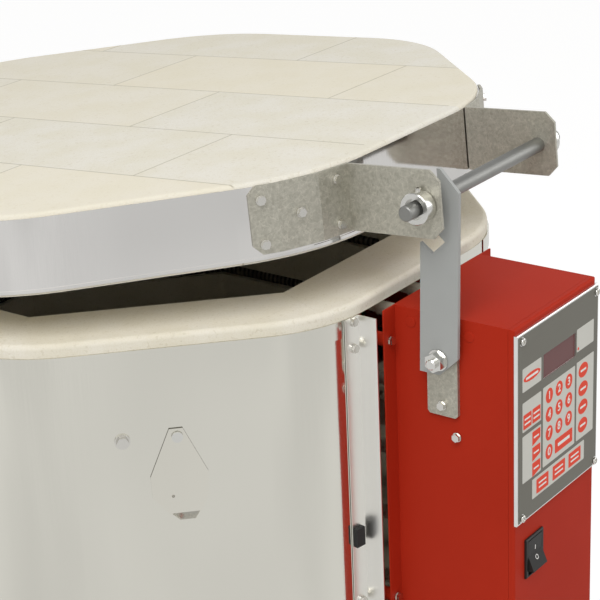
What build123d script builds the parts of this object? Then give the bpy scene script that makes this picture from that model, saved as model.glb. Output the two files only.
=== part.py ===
from build123d import *
import os
from math import asin, cos, degrees, radians, sin, sqrt, tan

os.makedirs("parts", exist_ok=True)

# Lengths are millimetres. The kiln stands on z = 0 and its control box faces -Y.

# Brickwork
chamber_across = 444.5
wall_brick = 57.15
course_height = 114.3
course_count = 4
wall_corner_radius = 110.0
rim_edge_round = 4.0
brick_joint = 0.1
floor_brick = 57.15
peephole_radius = 9.5

# Heating elements in their grooves
grooves_per_course = 2
groove_height = 11.5
groove_depth = 13.0
coil_radius = 5.0
terminal_radius = 5.5
terminal_spread = 44.0
terminal_reach = 22.0

# Stand
stand_height = 200.0
stand_ring_width = 32.0
stand_sheet = 4.0
stand_ring_inset = 14.0
leg_side = 32.0
leg_sheet = 3.2
leg_centre = 168.0
glide_height = 9.0
glide_radius = 15.0
brace_height = 20.0
brace_sheet = 3.0
brace_level = 62.0

# Jacket
sheet = 0.6
pan_sheet = 0.8
pan_lip = 22.0
brick_proud = 9.4
band_height = 13.2
skin_gap = 0.1

# Lid
lid_overhang = 3.4
lid_brick = 57.15
lid_corner_radius = 139.3
lid_setback = 6.0
lid_edge_round = 3.0
lid_row_width = 114.3
lid_brick_length = 228.6
lid_row_start = -270.8
lid_row_joints = (-43.0, 76.0, -49.4, 68.6, -45.0)
lid_rest_gap = 0.3
lid_band_low = 2.0
lid_band_high = 54.6
lid_hem_height = 2.3
propped_rise = 52.5

# Lid brackets, handle rod and hinge
bracket_sheet = 2.2
bracket_height = 49.0
bracket_low = 6.2
bracket_half_span = 81.0
ear_length = 76.0
ear_corner_cut = 7.5
flange_corner_cut = 6.5
rod_radius = 5.55
rod_standoff = 61.2
rod_level = 30.0
rod_overhang = 22.0
running_fit = 0.05
collar_radius = 11.4
collar_length = 10.5
collar_gap = 0.3
collar_recess_radius = 7.6
collar_recess_depth = 4.0
set_screw_radius = 2.4
hinge_plate_sheet = 3.0
hinge_plate_gap = 1.6
hinge_flange_width = 30.0
hinge_flange_top_drop = 16.0
hinge_flange_bottom_drop = 92.0
hinge_eye_radius = 15.0

# Fasteners
washer_radius = 3.6
hex_across = 5.6
screw_head_height = 3.6
screw_shank_radius = 1.6
screw_bite = 12.0
jacket_washer_radius = 5.6
jacket_hex_across = 8.0
hole_gap = 0.12

# Control box
box_width = 120.0
box_depth = 99.4
box_height = 440.5
box_drop = 5.5
box_standoff = 16.5
box_sheet = 1.2
box_flange = 14.5
cover_return = 4.6
cover_bend_round = 2.0
flange_screw_drops = (25.2, 236.0, 405.0)
side_screw_drops = (92.4, 300.0)
side_screw_setback = 46.6

# Faceplate, display and switch on the box front
face_width = 120.0
face_height = 148.0
face_drop = 4.3
face_sheet = 2.6
face_screw_left = 7.0
face_screw_right = 3.7
face_screw_top = 5.8
face_screw_bottom = 4.0
face_screw_radius = 2.9
overlay_margin = 1.6
overlay_sheet = 0.35
window_width = 48.0
window_height = 19.0
window_centre_x = 0.7
window_drop = 40.5
switch_width = 25.4
switch_height = 32.0
switch_centre_x = -32.4
switch_drop = 186.5
switch_proud = 2.0
rocker_tilt = 11.0
rocker_side_gap = 0.3

# Prop arm and its support bar
bar_width = 25.4
bar_sheet = 3.0
bar_lead = 0.5
bar_bottom_drop = 76.8
bar_top_drop = 15.0
bar_screw_drop = 68.5
arm_sheet = 3.0
arm_side_gap = 0.3
spacer_thickness = 2.0
spacer_radius = 8.0
pivot_lead = 2.8
pivot_drop = 31.0
pivot_radius = 3.95
pivot_nut_across = 12.7
pivot_nut_height = 6.6
pivot_tip = 3.6
notch_pitch = 30.6
notch_gap = 0.35
arm_swing = 145.0

# Heights and reaches that follow from the sizes above
inner = chamber_across / 2
outer = inner + wall_brick
pan_z = stand_height
floor_z = pan_z + pan_sheet
wall_z = floor_z + floor_brick
rim_z = wall_z + course_height * course_count
jacket_in = outer + skin_gap
jacket_out = jacket_in + sheet
jacket_radius = wall_corner_radius + skin_gap + sheet
jacket_top_z = rim_z - brick_proud
half_turn = tan(radians(22.5))
front_y = -jacket_out
box_back_y = front_y - box_standoff
box_front_y = box_back_y - box_depth
box_top_z = rim_z - box_drop
box_bottom_z = box_top_z - box_height
lid_outer = jacket_out + lid_overhang
slab_apothem = lid_outer - sheet - skin_gap
band_radius = lid_corner_radius + skin_gap + sheet
rod_reach = lid_outer + rod_standoff
hinge_y = lid_setback + rod_reach
hinge_z = rim_z + rod_level
lid_angle = degrees(asin(propped_rise / (2 * rod_reach)))
rod_y = hinge_y - 2 * rod_reach * cos(radians(lid_angle))
rod_z = hinge_z + propped_rise
BOTTOM = (Align.CENTER, Align.CENTER, Align.MIN)
TOP = (Align.CENTER, Align.CENTER, Align.MAX)


def octagon(apothem, corner_radius=0.0):
    """Regular octagon with flats square to X and Y, its corners rounded."""
    shape = RegularPolygon(apothem, 8, major_radius=False, rotation=22.5)
    if corner_radius > 0:
        shape = fillet(shape.vertices(), corner_radius)
    return shape


def prism(sketch, low, high):
    """Upright solid of a flat outline between two heights."""
    return Pos(0, 0, low) * extrude(sketch, amount=high - low)


def block(x0, x1, y0, y1, z0, z1):
    """Box between two corners."""
    middle = Pos((x0 + x1) / 2, (y0 + y1) / 2, (z0 + z1) / 2)
    return middle * Box(abs(x1 - x0), abs(y1 - y0), abs(z1 - z0))


def rod_between(start, end, radius):
    """Round bar from one point to another."""
    run = Vector(*end) - Vector(*start)
    plane = Plane(origin=start, z_dir=run)
    return plane * Cylinder(radius, run.length, align=BOTTOM)


def bent_strip(points, thickness, low, high):
    """Upright sheet that follows points in plan, its thickness on the right of travel."""
    spots = [Vector(x, y) for x, y in points]
    runs = [(b - a).normalized() for a, b in zip(spots, spots[1:])]
    sides = [Vector(run.Y, -run.X) for run in runs]
    shifts = [sides[0]]
    for first, second in zip(sides, sides[1:]):
        shifts.append((first + second) * (1 / (1 + first.dot(second))))
    shifts.append(sides[-1])
    far = [spot + shift * thickness for spot, shift in zip(spots, shifts)]
    outline = Polyline(*spots, *reversed(far), close=True)
    return prism(make_face(outline), low, high)


def hex_screw(shank, washer=washer_radius, across=hex_across, height=screw_head_height):
    """Hex washer screw, its head above z = 0 and its shank below."""
    head = Cylinder(washer, height * 0.35, align=BOTTOM)
    head += extrude(RegularPolygon(across / 2, 6, major_radius=False), amount=height)
    return head + Cylinder(screw_shank_radius, shank, align=TOP)


def shank_hole(depth, radius=screw_shank_radius):
    """Clearance hole for a shank, reaching a little out of the face as well."""
    return Pos(0, 0, 1) * Cylinder(radius + hole_gap, depth + 2, align=TOP)


def group(shapes):
    """Several separate solids that share one name."""
    return Compound([solid for shape in shapes for solid in shape.solids()])


nodes = {}


# Wall courses: eight bricks each, meeting on the corner planes of the octagon
def side_wedge(index):
    """Slice of one eighth turn about the kiln's axis."""
    reach = outer * 1.5
    start = brick_joint / 2 / sin(radians(22.5))
    face = Polygon((start, 0), (reach, -(reach - start) * half_turn),
                   (reach, (reach - start) * half_turn), align=None)
    return prism(Rot(0, 0, 45 * index) * face, wall_z - 1, rim_z + 1)


def groove_levels(course):
    """Middle heights of the grooves of one course."""
    low = wall_z + course * course_height
    pitch = course_height / grooves_per_course
    return [low + pitch * (k + 0.5) for k in range(grooves_per_course)]


peephole_levels = [rim_z - course_height, wall_z + course_height]
diagonal = Vector(-sqrt(0.5), -sqrt(0.5), 0)
along = Vector(sqrt(0.5), -sqrt(0.5), 0)
peephole_offset = 3.6


def side_point(distance, offset, height):
    """Point off the front-left flat: out from the axis, along the flat, and up."""
    spot = diagonal * distance + along * offset
    return (spot.X, spot.Y, height)


front_terminals = []
for course in range(course_count):
    for level in groove_levels(course):
        for side in (-1, 1):
            front_terminals.append((side * terminal_spread / 2, level))
terminal_hole = terminal_radius + hole_gap

thermocouple_level = rim_z - course_height - 8.0
thermocouple_radius = 4.0

wall_holes = [rod_between(side_point(inner - 5, peephole_offset, level),
                          side_point(outer + 5, peephole_offset, level), peephole_radius)
              for level in peephole_levels]
wall_holes += [rod_between((x, -inner + 5, z), (x, -outer - 5, z), terminal_hole)
               for x, z in front_terminals]
wall_holes.append(rod_between((0, -inner + 5, thermocouple_level),
                              (0, -outer - 5, thermocouple_level),
                              thermocouple_radius + hole_gap))


# Places of the screws that pass through the jacket into the brick
jacket_screws = [Plane(origin=side_point(jacket_out, peephole_offset - 38.7, level + 36.5),
                       z_dir=diagonal) for level in peephole_levels]
standoff_x = box_width / 2 + box_flange * 0.52
flange_screws = [Plane(origin=(side * standoff_x, box_back_y - box_sheet, box_top_z - drop),
                       z_dir=(0, -1, 0))
                 for side in (-1, 1) for drop in flange_screw_drops]
flange_shank = box_sheet + box_standoff + sheet + skin_gap + screw_bite

# Hinge plates on the rear flat
plate_x = bracket_half_span - bracket_sheet - hinge_plate_gap
hinge_screws = [Plane(origin=(side * (plate_x - hinge_plate_sheet - hinge_flange_width * 0.5),
                              jacket_out + hinge_plate_sheet, rim_z - drop), z_dir=(0, 1, 0))
                for side in (-1, 1) for drop in (28.0, 54.0, 80.0)]

# Corner angle beside the control box
angle_sheet = 1.0
angle_x = 80.5
angle_width = 14.5
angle_screw_drops = (12.4, 33.0, 240.0, 405.0)
angle_bottom = box_bottom_z
arc_x = (jacket_out - jacket_radius) * half_turn
arc_y = -jacket_out + jacket_radius
angle_mid = asin((angle_x + angle_width / 2 - arc_x) / jacket_radius)
angle_normal = Vector(-sin(angle_mid), -cos(angle_mid), 0)
angle_run = Vector(-cos(angle_mid), sin(angle_mid), 0)
angle_touch = Vector(-arc_x, arc_y, 0) + angle_normal * (jacket_radius + hole_gap)
angle_screws = []
for drop in angle_screw_drops:
    spot = angle_touch + angle_normal * angle_sheet
    angle_screws.append(Plane(origin=(spot.X, spot.Y, rim_z - drop), z_dir=angle_normal))

skin_depth = sheet + skin_gap
shell_holes = [plane * shank_hole(skin_depth + screw_bite) for plane in jacket_screws]
shell_holes += [plane * shank_hole(flange_shank) for plane in flange_screws]
shell_holes += [plane * shank_hole(hinge_plate_sheet + skin_depth + screw_bite)
                for plane in hinge_screws]
shell_holes += [plane * shank_hole(angle_sheet + skin_depth + screw_bite)
                for plane in angle_screws]

for course in range(course_count):
    low = wall_z + course * course_height
    high = low + course_height
    ring = prism(octagon(outer, wall_corner_radius), low, high)
    if course == course_count - 1:
        edges = ring.edges().filter_by_position(Axis.Z, high - 0.01, high + 0.01)
        ring = fillet(edges, rim_edge_round)
    ring -= prism(octagon(inner), low - 1, high + 1)
    for level in groove_levels(course):
        ring -= prism(octagon(inner + groove_depth), level - groove_height / 2,
                      level + groove_height / 2)
    ring -= wall_holes + shell_holes
    bricks = [ring & side_wedge(index) for index in range(8)]
    nodes[f"wall_course_{course + 1}"] = group(bricks)

nodes["floor_slab"] = prism(octagon(outer, wall_corner_radius), floor_z, wall_z)


# Heating elements: the outer shape of each coil, once round each groove
coil_back = inner + groove_depth - 1.0


def element_loop(level):
    """Coil seen as one round bar that follows the groove."""
    apothem = coil_back - coil_radius
    corner = apothem * half_turn
    spots = [(apothem, 0, level)]
    for index in range(8):
        spot = Vector(apothem, corner, level).rotate(Axis.Z, 45 * index)
        spots.append((spot.X, spot.Y, level))
    path = Polyline(*spots, close=True)
    section = Plane(origin=spots[0], z_dir=(0, 1, 0)) * Circle(coil_radius)
    return sweep(section, path=path, transition=Transition.RIGHT)


coil_levels = [level for course in range(course_count) for level in groove_levels(course)]
nodes["heating_elements"] = group(
    element_loop(level - groove_height / 2 + coil_radius) for level in coil_levels)

terminal_out_y = -jacket_out - terminal_reach
stud_length = 12.0
terminals = []
for x, z in front_terminals:
    tube = rod_between((x, -coil_back, z), (x, terminal_out_y, z), terminal_radius)
    stud = rod_between((x, terminal_out_y, z), (x, terminal_out_y - stud_length, z), 2.0)
    nut = Plane(origin=(x, terminal_out_y - 3, z), z_dir=(0, -1, 0)) * extrude(
        RegularPolygon(4.0, 6, major_radius=False), amount=4.5)
    terminals.append(tube + stud + nut)
nodes["element_terminals"] = group(terminals)

probe = rod_between((0, -inner + 14, thermocouple_level),
                    (0, terminal_out_y, thermocouple_level), thermocouple_radius)
nodes["thermocouple_probe"] = probe
nodes["thermocouple_block"] = block(-9, 9, terminal_out_y - 14, terminal_out_y,
                                    thermocouple_level - 11, thermocouple_level + 11)

# Jacket, its folded top band and the base pan
jacket = prism(octagon(jacket_out, jacket_radius), floor_z, jacket_top_z)
jacket -= prism(octagon(jacket_in, jacket_radius - sheet), floor_z - 1, jacket_top_z + 1)
jacket -= wall_holes + shell_holes
nodes["jacket"] = jacket

pan_lip_in = jacket_out + skin_gap
pan_lip_radius = jacket_radius + skin_gap
pan = prism(octagon(pan_lip_in + pan_sheet, pan_lip_radius + pan_sheet), pan_z, pan_z + pan_lip)
pan -= prism(octagon(pan_lip_in, pan_lip_radius), pan_z + pan_sheet, pan_z + pan_lip + 1)
pan -= block(-box_width / 2 - box_flange - 4, box_width / 2 + box_flange + 4,
             front_y - 5, front_y - 0.02, pan_z + pan_sheet, pan_z + pan_lip + 1)
nodes["base_pan"] = pan

# Stand: an octagonal ring, four angle legs, braces and glides
ring_outer = outer - stand_ring_inset
ring_low = stand_height - stand_sheet
stand = prism(octagon(ring_outer), ring_low, stand_height)
stand -= prism(octagon(ring_outer - stand_ring_width), ring_low - 1, stand_height + 1)


def leg_angle():
    """Angle-section leg, its corner towards the axis side of the foot."""
    half = leg_side / 2
    leg = block(-half, half, -half, -half + leg_sheet, glide_height, ring_low)
    return leg + block(-half, -half + leg_sheet, -half, half, glide_height, ring_low)


legs = []
glides = []
for sx, sy in ((-1, -1), (1, -1), (1, 1), (-1, 1)):
    turn = {(-1, -1): 0, (1, -1): 90, (1, 1): 180, (-1, 1): 270}[(sx, sy)]
    place = Pos(sx * leg_centre, sy * leg_centre, 0)
    legs.append(place * Rot(0, 0, turn) * leg_angle())
    glide = Cylinder(glide_radius, glide_height - 2, align=BOTTOM)
    glide = chamfer(glide.edges().filter_by_position(Axis.Z, -0.01, 0.01), 1.2)
    plate = Pos(0, 0, glide_height - 2) * Box(leg_side, leg_side, 2, align=BOTTOM)
    glides.append(place * (glide + plate))
leg_inside = leg_centre + leg_side / 2 - leg_sheet
braces = []
for turn, reach in ((0, leg_inside), (180, leg_inside), (90, leg_inside - brace_sheet),
                    (270, leg_inside - brace_sheet)):
    bar = block(-reach, reach, -leg_inside, -leg_inside + brace_sheet, brace_level,
                brace_level + brace_height)
    braces.append(Rot(0, 0, turn) * bar)
nodes["stand_ring"] = stand
nodes["stand_legs"] = group(legs)
nodes["stand_braces"] = group(braces)
nodes["leg_glides"] = group(glides)

# Jacket top band: the sheet folded back on itself
band = prism(octagon(jacket_out + skin_gap + sheet, jacket_radius + skin_gap + sheet),
             jacket_top_z - band_height, jacket_top_z)
band -= prism(octagon(jacket_out + skin_gap, jacket_radius + skin_gap),
              jacket_top_z - band_height - 1, jacket_top_z + 1)
band_gap_x = angle_x + angle_width + 3.0
band -= block(-band_gap_x, band_gap_x, -jacket_out - 5, 0, jacket_top_z - band_height - 1,
              jacket_top_z + 1)
band -= block(-plate_x - 1.0, plate_x + 1.0, 0, jacket_out + 5, jacket_top_z - band_height - 1,
              jacket_top_z + 1)
nodes["jacket_top_band"] = band

# Corner angle: one leg on the jacket, the other standing out to the box
start = angle_touch + angle_run * (angle_width / 2)
bend = angle_touch - angle_run * (angle_width / 2)
angle_points = [(start.X, start.Y), (bend.X, bend.Y), (bend.X, box_back_y + 0.6)]
corner_angle = bent_strip(angle_points, angle_sheet, angle_bottom, jacket_top_z - 0.2)
corner_angle -= [plane * shank_hole(angle_sheet + 2) for plane in angle_screws]
nodes["corner_angle"] = corner_angle
sheet_screws = [plane * hex_screw(angle_sheet + skin_depth + screw_bite)
                for plane in angle_screws]
sheet_screws += [plane * hex_screw(hinge_plate_sheet + skin_depth + screw_bite)
                 for plane in hinge_screws]
nodes["jacket_sheet_screws"] = group(sheet_screws)
nodes["cover_stop_screws"] = group(
    plane * hex_screw(skin_depth + screw_bite, jacket_washer_radius, jacket_hex_across, 4.6)
    for plane in jacket_screws)

# Peephole covers: a tapered plate that hangs from a rivet, its lower lip bent out
cover_sheet = 1.0
cover_lip = 6.5
cover_gap = 0.3
cover_drop = 36.5
rivet_radius = 2.2
cover_bottom = 61.6


def cover_plate():
    """Cover hanging from the origin, its face to +Z and its lip at -Y."""
    outline = Polyline((-5.5, 6.2), (4.2, 6.2), (20.6, -29.6), (19.8, -48.6), (13.7, -cover_bottom),
                       (-8.8, -cover_bottom), (-20.6, -46.8), (-21.1, -30.3), close=True)
    plate = extrude(make_face(outline), amount=cover_sheet)
    lip_outline = Polyline((-8.0, 0), (12.9, 0), (8.5, -cover_lip), (-1.6, -cover_lip), close=True)
    lip = Pos(0, -cover_bottom + 0.6, 0) * Rot(-60, 0, 0) * extrude(
        make_face(lip_outline), amount=cover_sheet)
    plate += lip
    plate -= Pos(0, 0, -5) * Cylinder(rivet_radius + running_fit, 10 + cover_sheet, align=BOTTOM)
    return plate


rivets = []
rivet_head = 1.6
for name, level in zip(("upper", "lower"), peephole_levels):
    origin = side_point(jacket_out, peephole_offset, level + cover_drop)
    wall = Plane(origin=origin, x_dir=along, z_dir=diagonal)
    nodes[f"peephole_cover_{name}"] = wall * Pos(0, 0, cover_gap) * cover_plate()
    shank_top = cover_gap + cover_sheet + cover_gap
    rivet = Pos(0, 0, -sheet) * Cylinder(rivet_radius, shank_top + sheet, align=BOTTOM)
    rivet += Pos(0, 0, shank_top) * Cylinder(rivet_radius + 1.9, rivet_head, align=BOTTOM)
    rivets.append(wall * rivet)
rivet_holes = [Plane(origin=side_point(jacket_out, peephole_offset, level + cover_drop),
                     z_dir=diagonal) * shank_hole(3.0, rivet_radius) for level in peephole_levels]
nodes["jacket"] -= rivet_holes
nodes["cover_rivets"] = group(rivets)


# Control box: a sheet shell open at the back, closed by a lipped front cover
half_box = box_width / 2
half_in = half_box - box_sheet
shell_front_y = box_front_y + cover_return + 0.2
seam_gap = 0.2


def wall_plane(side, y, z):
    """Plane on the outer face of a side wall of the box, facing outwards."""
    return Plane(origin=(side * half_box, y, z), z_dir=(side, 0, 0))


side_screw_y = box_front_y + side_screw_setback
side_screws = [wall_plane(side, side_screw_y, box_top_z - drop)
               for side in (-1, 1) for drop in side_screw_drops]
pivot_y = rod_y - pivot_lead
bar_centre_y = pivot_y + bar_lead
pivot_z = box_top_z - pivot_drop
pivot_plane = wall_plane(-1, pivot_y, pivot_z)
bar_outer = half_box + bar_sheet
bar_screw_plane = Plane(origin=(-bar_outer, bar_centre_y, box_top_z - bar_screw_drop),
                        z_dir=(-1, 0, 0))

shell = block(-half_box, half_box, box_back_y, shell_front_y, box_bottom_z, box_top_z)
shell -= block(-half_in, half_in, box_back_y + 1, shell_front_y - 1,
               box_bottom_z + box_sheet, box_top_z - box_sheet)
for side in (-1, 1):
    shell += block(side * (half_box - 0.01), side * (half_box + box_flange), box_back_y,
                   box_back_y - box_sheet, box_bottom_z, box_top_z)
tab_levels = [(box_top_z - 112.0, box_top_z - 62.0), (box_bottom_z + 150.0, box_bottom_z + 200.0),
              (box_bottom_z + 24.0, box_bottom_z + 74.0)]
for side in (-1, 1):
    for low, high in tab_levels:
        inset = half_in - box_sheet - hole_gap
        shell += block(side * inset, side * (inset + box_sheet), shell_front_y + 8.0,
                       box_front_y + box_sheet + seam_gap, low, high)
        shell += block(side * inset, side * half_in, shell_front_y + 8.0, shell_front_y + 2.0,
                       low, high)
shell -= [plane * shank_hole(flange_shank) for plane in flange_screws]
shell -= [plane * shank_hole(box_sheet + 4) for plane in side_screws]
shell -= pivot_plane * shank_hole(box_sheet + 4, pivot_radius - hole_gap)
shell -= [bar_screw_plane * shank_hole(bar_sheet + box_sheet + 4)]

gland_x = 22.0
gland_y = box_back_y - 56.0
gland_bore = 6.5
gland_thread = 11.0
gland_length = 26.0
shell -= Pos(gland_x, gland_y, box_bottom_z - 1) * Cylinder(gland_thread + hole_gap,
                                                            box_sheet + 2, align=BOTTOM)
nodes["box_shell"] = shell

gland = Pos(gland_x, gland_y, box_bottom_z - 18) * extrude(
    RegularPolygon(14.0, 6, major_radius=False), amount=18)
gland += Pos(gland_x, gland_y, box_bottom_z) * Cylinder(gland_thread, gland_length - 18,
                                                       align=BOTTOM)
locknut = Pos(gland_x, gland_y, box_bottom_z + box_sheet) * extrude(
    RegularPolygon(14.5, 6, major_radius=False), amount=5)
locknut -= Pos(gland_x, gland_y, box_bottom_z) * Cylinder(gland_thread + hole_gap, 20,
                                                          align=BOTTOM)
bore = Pos(gland_x, gland_y, box_bottom_z - 20) * Cylinder(gland_bore, 60, align=BOTTOM)
gland = chamfer((gland - bore).edges().filter_by_position(
    Axis.Z, box_bottom_z - 18.01, box_bottom_z - 17.99), 1.2)
nodes["cord_gland"] = group([gland, locknut])

# Front cover with its opening for the controller and for the switch
face_top_z = box_top_z - face_drop
face_bottom_z = face_top_z - face_height
face_half = face_width / 2
face_front_y = box_front_y - face_sheet
face_screws = []
for x in (-face_half + face_screw_left, face_half - face_screw_right):
    for z in (face_top_z - face_screw_top, face_bottom_z + face_screw_bottom):
        face_screws.append(Plane(origin=(x, face_front_y, z), z_dir=(0, -1, 0)))
switch_z = box_top_z - switch_drop
opening_margin = 12.0
rocker_half_height = 12.2
rocker_half_width = 9.9
rocker_recess = 7.0
cavity_half_height = rocker_half_height + 2.3
cavity_half_width = rocker_half_width + rocker_side_gap
housing_half_width = cavity_half_width + 1.2
housing_half_height = cavity_half_height + 1.0

cover = block(-half_box, half_box, box_front_y, box_front_y + cover_return,
              box_bottom_z, box_top_z)
cover = fillet(cover.faces().sort_by(Axis.Y)[0].edges(), cover_bend_round)
cover -= block(-half_in, half_in, box_front_y + box_sheet, box_front_y + cover_return + 1,
               box_bottom_z + box_sheet, box_top_z - box_sheet)
cover -= block(-face_half + opening_margin, face_half - opening_margin, box_front_y - 1,
               box_front_y + box_sheet + 1, face_bottom_z + opening_margin,
               face_top_z - opening_margin)
cover -= block(switch_centre_x - housing_half_width - hole_gap,
               switch_centre_x + housing_half_width + hole_gap, box_front_y - 1,
               box_front_y + box_sheet + 1, switch_z - housing_half_height - hole_gap,
               switch_z + housing_half_height + hole_gap)
cover -= [plane * shank_hole(face_sheet + box_sheet + 2) for plane in face_screws]
nodes["box_front_cover"] = cover

# Faceplate, its printed overlay, display window and screws
window_z = box_top_z - window_drop
plate = block(-face_half, face_half, face_front_y, box_front_y, face_bottom_z, face_top_z)
plate = chamfer(plate.faces().sort_by(Axis.Y)[0].edges(), 0.5)
window = block(window_centre_x - window_width / 2, window_centre_x + window_width / 2,
               face_front_y + 0.6, box_front_y, window_z - window_height / 2,
               window_z + window_height / 2)
window_opening = block(window_centre_x - window_width / 2, window_centre_x + window_width / 2,
                       face_front_y - 2, box_front_y + 1, window_z - window_height / 2,
                       window_z + window_height / 2)
plate -= window_opening
plate -= [plane * shank_hole(face_sheet + 2) for plane in face_screws]
nodes["faceplate"] = plate
nodes["display_window"] = window

overlay = block(-face_half + overlay_margin, face_half - overlay_margin,
                face_front_y - overlay_sheet, face_front_y,
                face_bottom_z + overlay_margin, face_top_z - overlay_margin)
overlay -= window_opening
overlay -= [plane * shank_hole(2.0, face_screw_radius + 0.5) for plane in face_screws]
nodes["keypad_overlay"] = overlay


def pan_screw(radius, height, shank):
    """Pan head screw with a cross recess, its head above z = 0."""
    head = Cylinder(radius, height, align=BOTTOM)
    head = fillet(head.edges().sort_by(Axis.Z)[-1], height * 0.45)
    for turn in (45, 135):
        head -= Pos(0, 0, height - 0.7) * Rot(0, 0, turn) * Box(
            radius * 1.2, radius * 0.26, 2, align=BOTTOM)
    return head + Cylinder(screw_shank_radius, shank, align=TOP)


nodes["faceplate_screws"] = group(
    plane * pan_screw(face_screw_radius, 1.9, face_sheet + box_sheet + 2.0)
    for plane in face_screws)

# Controller behind the faceplate
board_setback = 15.0
board_y = box_front_y + board_setback
board_sheet = 1.6
board_half_width = (face_width - 2 * opening_margin) / 2 - 3.0
board_top = face_top_z - opening_margin - 3.0
board_bottom = face_bottom_z + opening_margin + 3.0
nodes["circuit_board"] = block(-board_half_width, board_half_width, board_y,
                               board_y + board_sheet, board_bottom, board_top)
posts = [rod_between((x, box_front_y, z), (x, board_y, z), 3.0)
         for x in (-board_half_width + 5, board_half_width - 5)
         for z in (board_bottom + 5, board_top - 5)]
nodes["board_posts"] = group(posts)
nodes["display_module"] = block(window_centre_x - window_width / 2 - 1,
                                window_centre_x + window_width / 2 + 1, box_front_y, board_y,
                                window_z - window_height / 2 - 1,
                                window_z + window_height / 2 + 1)

# Power switch: a housing with a bezel, and the rocker that turns in it
bezel_front_y = box_front_y - switch_proud
housing_back_y = box_front_y + 24.0
housing = block(switch_centre_x - switch_width / 2, switch_centre_x + switch_width / 2,
                bezel_front_y, box_front_y, switch_z - switch_height / 2,
                switch_z + switch_height / 2)
housing = chamfer(housing.faces().sort_by(Axis.Y)[0].edges(), 0.7)
housing += block(switch_centre_x - housing_half_width, switch_centre_x + housing_half_width,
                 box_front_y, housing_back_y, switch_z - housing_half_height,
                 switch_z + housing_half_height)
housing -= block(switch_centre_x - cavity_half_width, switch_centre_x + cavity_half_width,
                 bezel_front_y - 1, box_front_y + 16.0, switch_z - cavity_half_height,
                 switch_z + cavity_half_height)
housing += rod_between((switch_centre_x - cavity_half_width - 0.5,
                        bezel_front_y + rocker_recess, switch_z),
                       (switch_centre_x + cavity_half_width + 0.5,
                        bezel_front_y + rocker_recess, switch_z), 1.5)
for x in (-6, 6):
    housing += block(switch_centre_x + x - 3, switch_centre_x + x + 3, housing_back_y,
                     housing_back_y + 8, switch_z - 0.4, switch_z + 0.4)
nodes["switch_housing"] = housing

# Rocker outline in the plane across its pin: depth forwards, then height
rocker_outline = Polyline((-4.0, 5.0), (0.5, rocker_half_height), (9.5, rocker_half_height),
                          (7.0, 0), (9.5, -rocker_half_height), (0.5, -rocker_half_height),
                          (-4.0, -5.0), close=True)
rocker = extrude(make_face(rocker_outline), amount=rocker_half_width, both=True)
rocker -= Cylinder(1.5 + running_fit, rocker_half_width * 4)
rocker = Rot(0, 0, rocker_tilt) * rocker
rocker_plane = Plane(origin=(switch_centre_x, bezel_front_y + rocker_recess, switch_z),
                     x_dir=(0, -1, 0), z_dir=(-1, 0, 0))
nodes["power_rocker"] = rocker_plane * rocker

# Heat shield inside the box with the parts mounted on it
shield_sheet = 1.0
shield_y = terminal_out_y - stud_length - 4.0
shield_top = box_top_z - bar_screw_drop - 12.0
shield_bottom = box_bottom_z + 14.0
shield_half = half_in
shield = block(-shield_half, shield_half, shield_y, shield_y - shield_sheet, shield_bottom,
               shield_top)
for side in (-1, 1):
    shield += block(side * (shield_half - shield_sheet), side * shield_half, shield_y,
                    side_screw_y - 8.0, shield_bottom, shield_top)
shield -= [plane * shank_hole(box_sheet + 4) for plane in side_screws]
nodes["heat_shield"] = shield
shield_front = shield_y - shield_sheet
relay_depth = 29.0
relay_rise = 78.0
relay_pitch = 52.0
transformer_drop = 60.0
strip_rise = 24.0
relay_width = 48.0
relay_height = 38.0
core_width = 54.0
core_depth = 34.0
core_height = 44.0
strip_width = 72.0
strip_depth = 20.0
strip_height = 20.0
relays = []
for index in range(3):
    middle = shield_bottom + relay_rise + index * relay_pitch
    relays.append(block(-relay_width / 2, relay_width / 2, shield_front,
                        shield_front - relay_depth, middle - relay_height / 2,
                        middle + relay_height / 2))
nodes["relays"] = group(relays)
core_z = shield_top - transformer_drop
nodes["transformer"] = block(-core_width / 2, core_width / 2, shield_front,
                             shield_front - core_depth, core_z - core_height / 2,
                             core_z + core_height / 2)
strip_z = shield_bottom + strip_rise
nodes["terminal_block"] = block(-strip_width / 2, strip_width / 2, shield_front,
                                shield_front - strip_depth, strip_z - strip_height / 2,
                                strip_z + strip_height / 2)

box_screws = [plane * hex_screw(box_sheet + 3.2) for plane in side_screws]
box_screws.append(bar_screw_plane * hex_screw(bar_sheet + box_sheet + 3.0))
nodes["box_side_screws"] = group(box_screws)
nodes["box_flange_screws"] = group(plane * hex_screw(flange_shank) for plane in flange_screws)
standoffs = []
for plane in flange_screws:
    x, z = plane.origin.X, plane.origin.Z
    tube = rod_between((x, box_back_y, z), (x, front_y, z), 5.0)
    tube -= rod_between((x, box_back_y - 1, z), (x, front_y + 5, z), screw_shank_radius + hole_gap)
    standoffs.append(tube)
nodes["box_standoffs"] = group(standoffs)

# Support bar, pivot bolt and the two-notch prop arm on the left side of the box
bar_low = box_top_z - bar_bottom_drop
bar_high = box_top_z - bar_top_drop
support_bar = block(-half_box, -bar_outer, bar_centre_y - bar_width / 2,
                    bar_centre_y + bar_width / 2, bar_low, bar_high)
support_bar = chamfer(support_bar.edges().filter_by(Axis.X), 2.0)
support_bar -= rod_between((-half_box + 1, pivot_y, pivot_z), (-bar_outer - 1, pivot_y, pivot_z),
                           pivot_radius)
support_bar -= bar_screw_plane * shank_hole(bar_sheet + 2)
nodes["support_bar"] = support_bar

arm_near = bar_outer + spacer_thickness + arm_side_gap
arm_far = arm_near + arm_sheet
washer_at = arm_far + arm_side_gap
washer_sheet = 1.0
nut_at = washer_at + washer_sheet
bolt_tip = nut_at + pivot_nut_height + pivot_tip


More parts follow.
